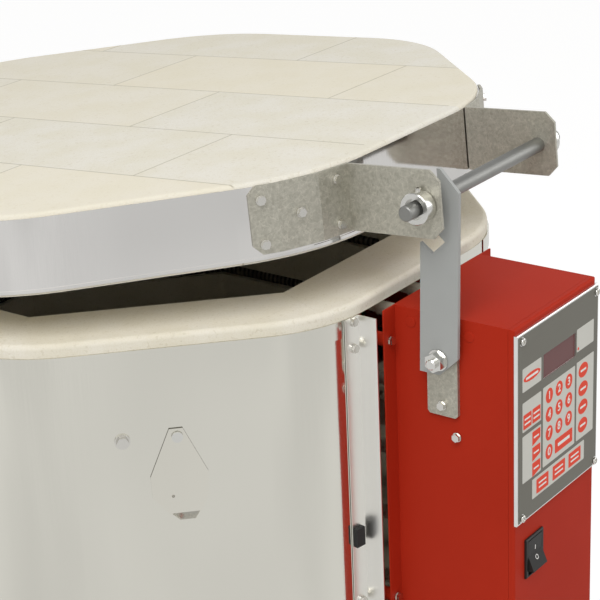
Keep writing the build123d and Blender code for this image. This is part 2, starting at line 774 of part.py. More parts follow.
def pivot_ring(start, end, radius):
    """Plain ring on the pivot bolt between two distances from the box's middle."""
    ring = rod_between((-start, pivot_y, pivot_z), (-end, pivot_y, pivot_z), radius)
    return ring - rod_between((-start + 1, pivot_y, pivot_z), (-end - 1, pivot_y, pivot_z),
                              pivot_radius)


pivot_axis_plane = Plane(origin=(-nut_at, pivot_y, pivot_z), z_dir=(-1, 0, 0))
bolt = rod_between((-half_in, pivot_y, pivot_z), (-bolt_tip, pivot_y, pivot_z), pivot_radius)
bolt = chamfer(bolt.edges().filter_by_position(Axis.X, -bolt_tip - 0.01, -bolt_tip + 0.01), 0.7)
bolt += Plane(origin=(-half_in, pivot_y, pivot_z), z_dir=(1, 0, 0)) * extrude(
    RegularPolygon(pivot_nut_across / 2, 6, major_radius=False), amount=5.0)
nodes["pivot_bolt"] = bolt
nodes["pivot_washers"] = group([
    pivot_ring(bar_outer, bar_outer + spacer_thickness, spacer_radius),
    pivot_ring(washer_at, nut_at, spacer_radius)])
nut = pivot_axis_plane * extrude(RegularPolygon(pivot_nut_across / 2, 6, major_radius=False),
                                 amount=pivot_nut_height)
nut -= rod_between((-nut_at + 1, pivot_y, pivot_z), (-bolt_tip - 1, pivot_y, pivot_z),
                   pivot_radius)
nodes["pivot_nut"] = nut

# Prop arm outline as (out from the kiln, up) from its pivot, and the rod's way through it
arm_bottom = -11.7
arm_top = rod_z - pivot_z + 23.3
arm_back = -15.8
arm_back_top = -12.1
arm_front = 15.8
arm_front_top = 18.5
seat_z = rod_z - pivot_z
lower_z = seat_z - notch_pitch


def stadium(first, second, radius):
    """Outline covered by a round bar that moves straight from one point to another."""
    run = Vector(second[0] - first[0], second[1] - first[1])
    side = Vector(-run.Y, run.X).normalized() * radius
    a = Vector(*first)
    b = Vector(*second)
    body = make_face(Polyline(a + side, b + side, b - side, a - side, close=True))
    return body + Pos(a) * Circle(radius) + Pos(b) * Circle(radius)


def rod_in_arm(swing, drop_per_degree, lift=0.0):
    """Middle of the rod as the arm sees it, once the arm has swung by some degrees."""
    turn = radians(lid_angle - swing * drop_per_degree + lift)
    y = hinge_y - 2 * rod_reach * cos(turn) - pivot_y
    z = hinge_z + 2 * rod_reach * sin(turn) - pivot_z
    out = radians(swing)
    return (-(y * cos(out) + z * sin(out)), -y * sin(out) + z * cos(out))


arm_outline = Polyline((arm_back, arm_bottom), (0.6, arm_bottom), (arm_front, 2.8),
                       (arm_front_top, arm_top - 15.5), (3.5, arm_top),
                       (-2.8, arm_top), (-2.8, seat_z - 4.0), (arm_back_top - 0.8, seat_z - 4.0),
                       (arm_back_top - 1.2, lower_z + 18.2), (2.9, lower_z + 4.9),
                       (6.8, lower_z + 1.4), (-3.9, lower_z - 8.9),
                       (arm_back + 2.4, lower_z - 2.0), close=True)
arm_face = make_face(arm_outline)
lowering = [rod_in_arm(swing, lid_angle / arm_swing) for swing in (0, 2, 4, 6, 8, 10)]
raising = [rod_in_arm(0, 0, lift) for lift in (0.0, 2.2, 4.0)]
for path in (lowering, raising):
    for first, second in zip(path, path[1:]):
        arm_face -= stadium(first, second, rod_radius + notch_gap)
arm_face -= Circle(pivot_radius + running_fit)
arm_plane = Plane(origin=(-arm_near, pivot_y, pivot_z), x_dir=(0, -1, 0), z_dir=(-1, 0, 0))
nodes["prop_arm"] = arm_plane * extrude(arm_face, amount=arm_sheet)


# Lid, drawn closed on its own axis and then set back, lifted and propped open
def on_lid(shape):
    """Place a lid shape, drawn about its own axis from the rim up, as the lid is propped."""
    closed = Pos(0, lid_setback, rim_z) * shape
    axis = Pos(0, hinge_y, hinge_z)
    return axis * Rot(-lid_angle, 0, 0) * axis.inverse() * closed


flange_gap = skin_gap
wrap_radius = band_radius + flange_gap
wrap_x = -(lid_outer - band_radius) * half_turn
wrap_y = -(lid_outer - band_radius)
facet_angles = (39.0, 26.0, 13.0)
flange_reach = 4.6
ear_in = bracket_half_span - bracket_sheet


def facet_spot(angle, slide, radius=wrap_radius):
    """Point on a flange facet that touches the rounded corner at an angle from the front."""
    turn = radians(angle)
    x = wrap_x - sin(turn) * radius + cos(turn) * slide
    y = wrap_y - cos(turn) * radius - sin(turn) * slide
    return (x, y)


half_facet = radians(facet_angles[0] - facet_angles[1]) / 2
bend_slide = wrap_radius * tan(half_facet)
last = radians(facet_angles[2])
touch = facet_spot(facet_angles[2], 0)
last_slide = (-ear_in - touch[0]) / cos(last)
bracket_path = [facet_spot(facet_angles[0], -flange_reach),
                facet_spot(facet_angles[0], bend_slide),
                facet_spot(facet_angles[1], bend_slide),
                facet_spot(facet_angles[2], last_slide),
                (-ear_in, -lid_outer - ear_length)]
bracket_high = bracket_low + bracket_height
bracket = bent_strip(bracket_path, bracket_sheet, bracket_low, bracket_high)


def corner_cutter(plane, size):
    """Cutter that takes a corner off a sheet, centred on the corner."""
    return plane * Rot(0, 0, 45) * Box(size * sqrt(2), size * sqrt(2), 12)


flange_end = facet_spot(facet_angles[0], -flange_reach)
flange_turn = radians(facet_angles[0])
flange_normal = (-sin(flange_turn), -cos(flange_turn), 0)
for z in (bracket_low, bracket_high):
    ear_corner = Plane(origin=(-ear_in, -lid_outer - ear_length, z), x_dir=(0, 1, 0),
                       z_dir=(-1, 0, 0))
    bracket -= corner_cutter(ear_corner, ear_corner_cut)
    end_corner = Plane(origin=(flange_end[0], flange_end[1], z), x_dir=(0, 0, 1),
                       z_dir=flange_normal)
    bracket -= corner_cutter(end_corner, flange_corner_cut)

bracket_screws = []
screw_radius = wrap_radius + bracket_sheet
for angle, slide, z in ((39.0, 4.1, 45.0), (39.0, 4.1, 13.4), (26.0, 0.0, 30.8),
                        (13.0, -0.3, 46.7), (13.0, -0.3, 14.2)):
    turn = radians(angle)
    x, y = facet_spot(angle, slide, screw_radius)
    bracket_screws.append(Plane(origin=(x, y, z), z_dir=(-sin(turn), -cos(turn), 0)))
bracket_shank = bracket_sheet + flange_gap + skin_depth + 22.0
bracket_holes = group(plane * shank_hole(bracket_shank) for plane in bracket_screws)
bracket -= [plane * shank_hole(bracket_sheet + 1) for plane in bracket_screws]
front_bracket = bracket - rod_between((-ear_in + 5, -rod_reach, rod_level),
                                      (-bracket_half_span - 5, -rod_reach, rod_level), rod_radius)
rear_bracket = bracket - rod_between((-ear_in + 5, -rod_reach, rod_level),
                                     (-bracket_half_span - 5, -rod_reach, rod_level),
                                     rod_radius + running_fit)
screw_set = group(plane * hex_screw(bracket_shank) for plane in bracket_screws)


def four_corners(shape):
    """The shape at all four corners where the lid brackets sit."""
    right = mirror(shape, about=Plane.YZ)
    return [shape, right, mirror(shape, about=Plane.XZ), mirror(right, about=Plane.XZ)]


nodes["bracket_front_left"] = on_lid(front_bracket)
nodes["bracket_front_right"] = on_lid(mirror(front_bracket, about=Plane.YZ))
rear_left = mirror(rear_bracket, about=Plane.XZ)
nodes["bracket_rear_left"] = on_lid(rear_left)
nodes["bracket_rear_right"] = on_lid(mirror(rear_left, about=Plane.YZ))
nodes["bracket_screws"] = on_lid(group(four_corners(screw_set)))
lid_holes = four_corners(bracket_holes)

slab_low = lid_rest_gap
slab_high = lid_rest_gap + lid_brick
slab = prism(octagon(slab_apothem, lid_corner_radius), slab_low, slab_high)
slab = fillet(slab.edges().filter_by_position(Axis.Z, slab_high - 0.01, slab_high + 0.01),
              lid_edge_round)
slab -= lid_holes
bricks = []
for row, joint in enumerate(lid_row_joints):
    left = lid_row_start + row * lid_row_width
    for step in range(-3, 4):
        front = joint + step * lid_brick_length
        if front > slab_apothem - 1 or front + lid_brick_length < -slab_apothem + 1:
            continue
        cell = block(left, left + lid_row_width, front, front + lid_brick_length,
                     slab_low - 5, slab_high + 5)
        piece = slab & cell
        if piece is not None and piece.volume > 1:
            bricks += list(piece.solids())
left_edge = block(-lid_outer, lid_row_start, -lid_outer, lid_outer, slab_low - 5, slab_high + 5)
right_start = lid_row_start + lid_row_width * len(lid_row_joints)
right_edge = block(right_start, max(lid_outer, right_start + 1), -lid_outer, lid_outer,
                   slab_low - 5, slab_high + 5)
for edge in (left_edge, right_edge):
    piece = slab & edge
    if piece is not None and piece.volume > 1:
        bricks += list(piece.solids())
nodes["lid_bricks"] = on_lid(group(bricks))

lid_band = prism(octagon(lid_outer, band_radius), lid_band_low, lid_band_high)
lid_band += prism(octagon(lid_outer + sheet, band_radius + sheet), lid_band_low,
                  lid_band_low + lid_hem_height)
lid_band -= prism(octagon(slab_apothem + skin_gap, lid_corner_radius + skin_gap),
                  lid_band_low - 1, lid_band_high + 1)
lid_band -= lid_holes
nodes["lid_band"] = on_lid(lid_band)

# Handle rod at the front, with a collar and set screw outside each ear
rod_half = bracket_half_span + rod_overhang


def collar(side, rod_y_place):
    """Collar outside one ear, its mouth recessed and drilled for the set screw."""
    inside = bracket_half_span + collar_gap
    outside = inside + collar_length
    ring = rod_between((inside, 0, 0), (outside, 0, 0), collar_radius)
    ring = chamfer(ring.edges(), 0.5)
    ring -= rod_between((inside - 1, 0, 0), (outside + 1, 0, 0), rod_radius)
    ring -= rod_between((outside - collar_recess_depth, 0, 0), (outside + 1, 0, 0),
                        collar_recess_radius)
    ring -= Pos(inside + 3.4, 0, 0) * Cylinder(set_screw_radius, 30, align=BOTTOM)
    place = Pos(0, rod_y_place, rod_level)
    if side < 0:
        ring = mirror(ring, about=Plane.YZ)
    return place * ring


def set_screw(side, rod_y_place):
    """Socket set screw standing out of the top of a collar."""
    x = side * (bracket_half_span + collar_gap + 3.4)
    length = collar_radius - rod_radius + 2.0
    screw = Pos(0, 0, rod_radius) * Cylinder(set_screw_radius, length, align=BOTTOM)
    screw = chamfer(screw.edges().sort_by(Axis.Z)[-1], 0.5)
    screw -= Pos(0, 0, rod_radius + length - 1.4) * extrude(
        RegularPolygon(1.0, 6, major_radius=False), amount=2)
    return Pos(x, rod_y_place, rod_level) * screw


def long_rod(rod_y_place):
    """Rod through both ears with chamfered ends."""
    bar = rod_between((-rod_half, rod_y_place, rod_level), (rod_half, rod_y_place, rod_level),
                      rod_radius)
    return chamfer(bar.edges().filter_by(GeomType.CIRCLE), 0.8)


nodes["handle_rod"] = on_lid(long_rod(-rod_reach))
nodes["handle_collars"] = on_lid(group(collar(side, -rod_reach) for side in (-1, 1)))
nodes["handle_set_screws"] = on_lid(group(set_screw(side, -rod_reach) for side in (-1, 1)))
nodes["hinge_rod"] = on_lid(long_rod(rod_reach))
nodes["hinge_collars"] = on_lid(group(collar(side, rod_reach) for side in (-1, 1)))
nodes["hinge_set_screws"] = on_lid(group(set_screw(side, rod_reach) for side in (-1, 1)))

# Hinge plates bolted to the rear of the jacket
rear_y = jacket_out
flat_half = arc_x - 0.5
plate_gap = 0.3
flange_low = rim_z - hinge_flange_bottom_drop
flange_high = rim_z - hinge_flange_top_drop
plate_outline = Polyline((rear_y + plate_gap, flange_low), (rear_y + 24.0, flange_low),
                         (hinge_y + hinge_eye_radius * 0.92, hinge_z - hinge_eye_radius * 0.4),
                         (hinge_y - hinge_eye_radius * 0.45, hinge_z + hinge_eye_radius * 0.9),
                         (rear_y + 17.0, flange_high), (rear_y + plate_gap, flange_high), close=True)
plate_face = make_face(plate_outline) + Pos(hinge_y, hinge_z) * Circle(hinge_eye_radius)
plate_face -= Pos(hinge_y, hinge_z) * Circle(rod_radius + running_fit)
side_plane = Plane(origin=(plate_x - hinge_plate_sheet, 0, 0), x_dir=(0, 1, 0), z_dir=(1, 0, 0))
hinge_plate = side_plane * extrude(plate_face, amount=hinge_plate_sheet)
hinge_plate += block(plate_x - hinge_plate_sheet - hinge_flange_width, flat_half, rear_y,
                     rear_y + hinge_plate_sheet, flange_low, flange_high)
hinge_plate += block(flat_half - 1, plate_x, rear_y + plate_gap, rear_y + hinge_plate_sheet,
                     flange_low, flange_high)
hinge_plate -= [plane * shank_hole(hinge_plate_sheet + 2) for plane in hinge_screws]
nodes["hinge_plates"] = group([hinge_plate, mirror(hinge_plate, about=Plane.YZ)])

# Put the middle of the whole outline over the origin and write every piece
limits = [shape.bounding_box() for shape in nodes.values()]
shift_x = -(min(box.min.X for box in limits) + max(box.max.X for box in limits)) / 2
shift_y = -(min(box.min.Y for box in limits) + max(box.max.Y for box in limits)) / 2
shift_z = -min(box.min.Z for box in limits)
for name, shape in nodes.items():
    placed = Pos(shift_x, shift_y, shift_z) * shape
    export_step(placed, f"parts/{name}.step")
print("shift", round(shift_x, 4), round(shift_y, 4), round(shift_z, 4))
print("hinge axis", round(hinge_y + shift_y, 4), round(hinge_z + shift_z, 4))
print("arm pivot", round(pivot_y + shift_y, 4), round(pivot_z + shift_z, 4))
print("nodes", len(nodes))
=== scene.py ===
# %% [markdown]
# # An octagonal ceramic kiln
# The kiln's own solids are already in the right place, so this lesson dresses them: it
# gives every sheet, brick and screw a finish, and adds the printed keypad and other small
# pieces. Everything is in metres, with the floor at z = 0 and the control box facing -Y.

# %% Load the kiln's solids
import math
import bmesh
import bpy
from mathutils import Matrix, Vector


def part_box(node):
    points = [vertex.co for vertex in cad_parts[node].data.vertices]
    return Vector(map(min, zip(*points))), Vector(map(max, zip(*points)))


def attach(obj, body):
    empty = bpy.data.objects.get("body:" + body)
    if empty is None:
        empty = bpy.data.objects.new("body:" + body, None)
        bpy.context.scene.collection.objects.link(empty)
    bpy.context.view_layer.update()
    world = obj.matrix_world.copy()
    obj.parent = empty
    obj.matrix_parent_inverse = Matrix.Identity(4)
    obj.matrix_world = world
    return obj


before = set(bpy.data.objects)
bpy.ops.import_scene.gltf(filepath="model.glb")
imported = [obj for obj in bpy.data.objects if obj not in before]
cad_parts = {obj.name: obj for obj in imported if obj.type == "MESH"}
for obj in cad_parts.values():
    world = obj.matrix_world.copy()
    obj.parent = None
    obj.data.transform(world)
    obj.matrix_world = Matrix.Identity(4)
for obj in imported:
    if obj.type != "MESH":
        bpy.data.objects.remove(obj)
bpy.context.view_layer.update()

# %% [markdown]
# ## Writing shader sums as Python
# A finish is a small graph of nodes. Wiring sums by hand is slow to read, so one class
# stands for a socket that carries a number and turns +, -, * and / into Math nodes. The
# reflected forms let a plain number stand first, as in 1 - mask.

# %% A socket that can be added and multiplied
class Wire:
    def __init__(self, graph, socket):
        self.graph = graph
        self.socket = socket

    def math(self, operation, *others, swap=False):
        values = [*others, self] if swap else [self, *others]
        made = self.graph.node("ShaderNodeMath", {"operation": operation},
                               dict(enumerate(values)))
        return Wire(self.graph, made.outputs[0])

    def __add__(self, other):
        return self.math("ADD", other)

    def __radd__(self, other):
        return self.math("ADD", other)

    def __sub__(self, other):
        return self.math("SUBTRACT", other)

    def __rsub__(self, other):
        return self.math("SUBTRACT", other, swap=True)

    def __mul__(self, other):
        return self.math("MULTIPLY", other)

    def __rmul__(self, other):
        return self.math("MULTIPLY", other)

    def __truediv__(self, other):
        return self.math("DIVIDE", other)

    def fade(self, low, high):
        """0 below low, 1 above high, and smooth between."""
        made = self.graph.node("ShaderNodeMapRange", {"interpolation_type": "SMOOTHSTEP"},
                               {"Value": self, "From Min": low, "From Max": high})
        return Wire(self.graph, made.outputs["Result"])


print("sums on sockets use", Wire.__name__)

# %% [markdown]
# ## Any node, and a finish
# A material and the studio's world are both graphs of nodes. One class makes any node from
# its type, its settings and the values of its sockets. A finish is a graph with a shader in
# it. It reads object coordinates, so that its pattern sits still on the piece, and adds the
# noise, colour blend and bump that nearly every surface here needs.

# %% Any node of a graph
class Graph:
    def __init__(self, tree):
        self.tree = tree

    def node(self, kind, settings, values):
        """Any node: its settings first, then a number, colour or link for each socket."""
        made = self.tree.nodes.new(kind)
        for key, value in settings.items():
            setattr(made, key, value)
        self.feed(made, values)
        return made

    def feed(self, made, values):
        """Give a node's sockets their numbers, colours or links."""
        for key, value in values.items():
            value = value.socket if isinstance(value, Wire) else value
            if isinstance(value, bpy.types.NodeSocket):
                self.tree.links.new(value, made.inputs[key])
            else:
                made.inputs[key].default_value = value

    def wire(self, made, name):
        return Wire(self, made.outputs[name])


print("nodes come from", Graph.__name__)


# %% A finish
def full(colour):
    """A colour with its alpha, or a link as it is."""
    return (*colour, 1) if isinstance(colour, tuple) and len(colour) == 3 else colour


def seen(red, green, blue):
    """Linear colour from the 0 to 255 numbers that a picture shows."""
    parts = [value / 255 for value in (red, green, blue)]
    return tuple(v / 12.92 if v <= 0.04045 else ((v + 0.055) / 1.055) ** 2.4 for v in parts)


class Finish(Graph):
    def __init__(self, name):
        self.material = bpy.data.materials.new(name)
        self.material.use_nodes = True
        super().__init__(self.material.node_tree)
        self.shader = self.tree.nodes["Principled BSDF"]
        self.spot = self.node("ShaderNodeTexCoord", {}, {}).outputs["Object"]

    def placed(self, scale=(1, 1, 1), move=(0, 0, 0), turn=(0, 0, 0)):
        """Object coordinates, stretched, turned and moved."""
        made = self.node("ShaderNodeMapping", {}, {"Vector": self.spot, "Location": move,
                                                   "Rotation": turn, "Scale": scale})
        return made.outputs["Vector"]

    def noise(self, scale, detail=2.0, stretch=(1, 1, 1), rough=0.5):
        made = self.node("ShaderNodeTexNoise", {},
                         {"Vector": self.placed(stretch), "Scale": scale,
                          "Detail": detail, "Roughness": rough})
        return self.wire(made, "Fac")

    def apart(self, vector):
        """The X, Y and Z of a vector."""
        made = self.node("ShaderNodeSeparateXYZ", {}, {"Vector": vector})
        return [self.wire(made, axis) for axis in "XYZ"]

    def blend(self, amount, first, second):
        """Colour between two, each a colour or a link."""
        made = self.node("ShaderNodeMix", {"data_type": "RGBA"},
                         {0: amount, 6: full(first), 7: full(second)})
        return made.outputs[2]

    def fill(self, values):
        """Give the shader's sockets their values."""
        self.feed(self.shader, values)

    def bump(self, height, strength, distance):
        made = self.node("ShaderNodeBump", {}, {"Height": height, "Strength": strength,
                                                "Distance": distance})
        self.fill({"Normal": made.outputs["Normal"]})

    def made_colour(self):
        """The link that now feeds the shader's colour."""
        return self.shader.inputs["Base Color"].links[0].from_socket


def shaded(colour, share):
    """A colour with each channel times share."""
    return tuple(value * share for value in colour)


print("cream brick in linear light", [round(v, 3) for v in seen(226, 222, 208)])

# %% [markdown]
# ## Soft firebrick
# Insulating brick is cream, matt and full of fine pores, and each brick has its own tint.
# The lid is a slab of whole bricks in staggered rows. Modelling every joint would hide the
# slab's rounded edge, so the joints are drawn by the finish: it counts rows across X and
# bricks along Y, darkens a thin line between them and tints each brick by its number.

# %% Brick with pores
grain_colour = seen(206, 194, 160)
pore_colour = seen(190, 178, 148)
brick_relief = 0.0006


def brick_finish(name, light, dark):
    finish = Finish(name)
    grain = finish.noise(900, 3, rough=0.65)
    cloud = finish.noise(26, 3)
    pores = finish.noise(330, 2).fade(0.60, 0.70)
    colour = finish.blend(cloud.fade(0.3, 0.7), light, dark)
    colour = finish.blend(grain.fade(0.35, 0.75) * 0.22, colour, grain_colour)
    colour = finish.blend(pores * 0.22, colour, pore_colour)
    finish.fill({"Base Color": colour, "Roughness": 0.92, "Specular IOR Level": 0.15})
    finish.bump(grain * 0.5 - pores * 0.6, 0.32, brick_relief)
    return finish


wall_brick = brick_finish("wall_brick", seen(237, 232, 219), seen(231, 225, 208))
print("bricks", wall_brick.material.name)

# %% [markdown]
# The lid stands a few degrees open, so its finish first turns the coordinates back about
# the hinge to the closed lid, where the rows run straight along Y. A mask keeps the drawn
# joints to the flat top and underside, since the slab's rim is under the band.

# %% Lid bricks with their joints
hinge = Vector((0, 0.3686242, 0.74515))
lid_turn = math.radians(4.3676)
lid_middle = Vector((0, 0.0239242, 0.71515))
row_start = -0.2708
row_width = 0.1143
brick_length = 0.2286
row_joints = (-0.043, 0.076, -0.0494, 0.0686, -0.045)
joint_fade = (0.00022, 0.00085)
rim_fade = (0.272, 0.274)
top_fade = (0.0545, 0.0572)
underside_fade = (0.02, 0.03)
joint_colour = seen(160, 152, 130)
warm_brick = seen(235, 227, 205)


def lid_finish():
    finish = brick_finish("lid_brick", seen(233, 230, 221), seen(229, 225, 211))
    move = hinge - Matrix.Rotation(lid_turn, 3, "X") @ hinge - lid_middle
    x, y, z = finish.apart(finish.placed(move=move, turn=(lid_turn, 0, 0)))
    across = (x - row_start) / row_width
    row = across.math("FLOOR")
    shift = 0
    for index, joint in enumerate(row_joints):
        shift = row.math("COMPARE", index, 0.1) * joint + shift
    along = (y - shift) / brick_length
    side = across.math("FRACT")
    end = along.math("FRACT")
    to_row = side.math("MINIMUM", 1 - side) * row_width
    to_end = end.math("MINIMUM", 1 - end) * brick_length
    gap = to_row.math("MINIMUM", to_end)
    flat_face = z.fade(*top_fade) + 1 - z.fade(*underside_fade)
    inside = 1 - y.math("ABSOLUTE").fade(*rim_fade)
    joint = (1 - gap.fade(*joint_fade)) * inside * flat_face
    number = finish.node("ShaderNodeCombineXYZ", {},
                         {"X": row, "Y": along.math("FLOOR"), "Z": 3.0})
    chance = finish.node("ShaderNodeTexWhiteNoise", {"noise_dimensions": "3D"},
                         {"Vector": number.outputs["Vector"]})
    warm = finish.wire(chance, "Value").fade(0.1, 1.0)
    colour = finish.blend(warm * 0.5, finish.made_colour(), warm_brick)
    colour = finish.blend(joint * 0.62, colour, joint_colour)
    pits = finish.shader.inputs["Normal"].links[0].from_node.inputs["Height"]
    height = Wire(finish, pits.links[0].from_socket) - joint * 1.5
    finish.fill({"Base Color": colour})
    finish.bump(height, 0.35, brick_relief)
    return finish


lid_brick = lid_finish()
print("rows start at", row_start, "and are", row_width, "wide")

# %% [markdown]
# ## Stainless sheet
# The jacket and the lid's band are polished stainless sheet that mirrors the studio. A flat
# mirror would look like glass, so faint vertical brushing is added: noise that is squeezed
# across and stretched up the sheet. A broad, weak wave stands for the sheet's unevenness.

# %% Stainless sheet
brush_stretch = (1400, 1400, 14)
wave_stretch = (9, 9, 2.5)


def stainless_finish(name, tint, smooth):
    finish = Finish(name)
    brush = finish.noise(1, 4, stretch=brush_stretch)
    wave = finish.noise(1, 2, stretch=wave_stretch)
    colour = finish.blend(wave.fade(0.3, 0.7), tint, shaded(tint, 0.92))
    colour = finish.blend(brush.fade(0.3, 0.7) * 0.4, colour, shaded(tint, 0.94))
    finish.fill({"Base Color": colour, "Metallic": 1.0, "Roughness": brush * 0.06 + smooth})
    finish.bump(brush * 0.2 + wave * 6, 0.08, 0.0004)
    return finish


jacket_steel = stainless_finish("jacket_steel", (0.79, 0.775, 0.70), 0.045)
band_steel = stainless_finish("band_steel", (0.84, 0.825, 0.80), 0.045)
angle_steel = stainless_finish("angle_steel", (0.94, 0.93, 0.89), 0.26)
print("sheets", [finish.material.name for finish in (jacket_steel, band_steel, angle_steel)])

# %% [markdown]
# ## Peephole covers
# Each cover is a thin stainless plate on a stainless jacket, so only its cut edge shows. The
# edge is too thin to model as a piece of its own. The finish measures how far out from the
# kiln's middle a point lies, along the slanted side that the covers hang on, and paints shade
# on what lies below the face of the sheet: a dark outline that stands for the shadow in the
# gap round each cover.

# %% Peephole covers with painted shade on their cut edges
kiln_y = 0.0179242
diagonal = 0.70711
cover_face = (0.28130, 0.28134)


def cover_finish():
    """Stainless with painted shade below the face of the sheet, where only its cut edge lies.
    """
    finish = stainless_finish("cover_steel", (0.79, 0.77, 0.69), 0.06)
    x, y, _ = finish.apart(finish.placed(move=(0, -kiln_y, 0)))
    edge = 1 - ((x + y) * -diagonal).fade(*cover_face)
    # Painted shade: the cut edge is darkened to stand for the shadow in the gap round the
    # cover.
    painted_edge_shade = finish.blend(edge * 0.68, finish.made_colour(), (0.10, 0.095, 0.08))
    finish.fill({"Base Color": painted_edge_shade})
    return finish


cover_steel = cover_finish()
print("covers", cover_steel.material.name)

# %% [markdown]
# ## Galvanised sheet
# The lid brackets and the support bar are galvanised steel: dull grey, mottled, with fine
# wiry scratches in every direction. Line-shaped noise would run one way only. Where smooth
# noise crosses its middle value it draws curling lines, so two such lines are the scratches.

# %% Galvanised sheet
def galvanised_finish(name, light, dark):
    finish = Finish(name)
    cloud = finish.noise(300, 6, rough=0.68)
    broad = finish.noise(28, 2)
    flake = finish.node("ShaderNodeTexVoronoi", {"feature": "F1"},
                        {"Vector": finish.placed(), "Scale": 420})
    shard = finish.wire(flake, "Distance")
    curl = (finish.noise(150, 1) - 0.5).math("ABSOLUTE")
    swirl = (finish.noise(230, 1, stretch=(1, 1.3, 0.8)) - 0.5).math("ABSOLUTE")
    scratch = 1 - curl.math("MINIMUM", swirl).fade(0.0, 0.02)
    mottled = cloud.fade(0.30, 0.70) * 0.65 + shard * 0.2 + broad * 0.15
    colour = finish.blend(mottled, dark, light)
    colour = finish.blend(scratch * 0.4, colour, shaded(light, 1.3))
    finish.fill({"Base Color": colour, "Metallic": 0.72, "Roughness": cloud * 0.2 + 0.36})
    finish.bump(shard + cloud, 0.10, 0.0003)
    return finish


galvanised = galvanised_finish("galvanised", (0.545, 0.525, 0.45), (0.35, 0.337, 0.28))
print("galvanised", galvanised.material.name)

# %% [markdown]
# ## Rods, screws and other small metal
# The handle rod is drawn steel and the screws, collars and bolt are zinc plated. They are
# small, so one plain metal does for all: a colour with some broad wear and a fine grain,
# from dull to bright by its roughness.

# %% Drawn rod and zinc
def metal_finish(name, colour, smooth, wear=0.1):
    finish = Finish(name)
    grain = finish.noise(700, 3)
    broad = finish.noise(60, 2)
    shade = finish.blend(broad.fade(0.3, 0.75) * (wear * 2), colour, shaded(colour, 0.72))
    finish.fill({"Base Color": shade, "Metallic": 1.0, "Roughness": grain * wear + smooth})
    finish.bump(grain, 0.06, 0.0002)
    return finish


drawn_rod = metal_finish("drawn_rod", (0.30, 0.30, 0.285), 0.46, 0.12)
weld_spot = metal_finish("weld_spot", (0.42, 0.40, 0.35), 0.5)
bright_zinc = metal_finish("bright_zinc", (0.72, 0.715, 0.68), 0.16, 0.08)
screw_zinc = metal_finish("screw_zinc", (0.70, 0.685, 0.64), 0.14, 0.08)
oxide_wire = metal_finish("oxide_wire", (0.16, 0.145, 0.13), 0.5, 0.2)
face_edge = metal_finish("face_edge", (0.88, 0.88, 0.86), 0.28)
print("metals", [finish.material.name for finish in (drawn_rod, bright_zinc, screw_zinc)])

# %% [markdown]
# ## Coiled heating wire
# Each groove holds a tightly wound coil. Thousands of real turns would be heavy, so the
# finish winds them: it takes the angle round the chamber and raises one thin ridge per turn
# in the bump, where a sine wave of that angle is high. The colour follows the same wave:
# painted shade darkens the gaps between turns and a painted highlight lightens each crest.

# %% Turns of the coil
ridges = 300


def coil_finish():
    finish = Finish("coil_turns")
    x, y, _ = finish.apart(finish.placed(move=(0, -kiln_y, 0)))
    angle = y.math("ARCTAN2", x)
    turn = (angle * ridges).math("SINE") * 0.5 + 0.5
    # Painted shade between the turns and a painted highlight on each crest, following the
    # ridges.
    colour = finish.blend(turn, (0.035, 0.03, 0.026), (0.20, 0.17, 0.145))
    finish.fill({"Base Color": colour, "Metallic": 0.4, "Roughness": 0.62})
    finish.bump(turn, 0.8, 0.0012)
    return finish


coil_turns = coil_finish()
print("coil ridges per loop", ridges)

# %% [markdown]
# ## Paint and plastic
# The control box is powder coated: one strong red with a fine orange peel. The prop arm is
# painted pale grey. Plastics are satin with a fine moulded grain. All are one finish with
# other numbers: a colour that drifts a little, and a fine noise in the bump.

# %% Paint and plastic finishes
def coat_finish(name, colour, smooth, peel=0.10, scale=1100, vary=0.06, gloss=0.3):
    finish = Finish(name)
    skin = finish.noise(scale, 2)
    broad = finish.noise(11, 3)
    shade = finish.blend(broad.fade(0.3, 0.7), colour, shaded(colour, 1 - vary))
    finish.fill({"Base Color": shade, "Roughness": broad * 0.08 + smooth,
                 "Specular IOR Level": gloss})
    finish.bump(skin, peel, 0.0003)
    return finish


def film_finish(name, colour, smooth, peel=0.03, vary=0.03):
    """Smooth printed film, ink or clear plastic."""
    return coat_finish(name, colour, smooth, peel, 2200, vary)


red_coat = coat_finish("red_coat", seen(177, 45, 25), 0.46, gloss=0.06)
arm_coat = coat_finish("arm_coat", seen(168, 170, 168), 0.42, 0.05)
stand_coat = coat_finish("stand_coat", seen(92, 94, 96), 0.5)
film_grey = film_finish("film_grey", seen(112, 110, 101), 0.46)
film_pale = film_finish("film_pale", seen(208, 207, 199), 0.5)
key_red = film_finish("key_red", seen(230, 66, 36), 0.48)
mark_white = film_finish("mark_white", seen(236, 234, 230), 0.5, 0.02, 0.02)
smoke_red = film_finish("smoke_red", seen(104, 58, 56), 0.22, 0.02, 0.10)
black_plastic = coat_finish("black_plastic", seen(36, 35, 33), 0.42, 0.12, 1600, 0.15)
glide_black = coat_finish("glide_black", seen(40, 40, 40), 0.6, 0.12, 1600, 0.15)
board_green = coat_finish("board_green", seen(38, 84, 56), 0.45)
fired_white = coat_finish("fired_white", seen(226, 222, 212), 0.35, 0.04)
print("paint", red_coat.material.name, arm_coat.material.name)

# %% [markdown]
# ## Give each solid its finish
# The solids are real metal, brick and plastic pieces, and each is dressed in one of the
# finishes above. They could be modelled again, but their meshes are already exact, so a
# carried-over solid keeps its mesh and only changes its material.

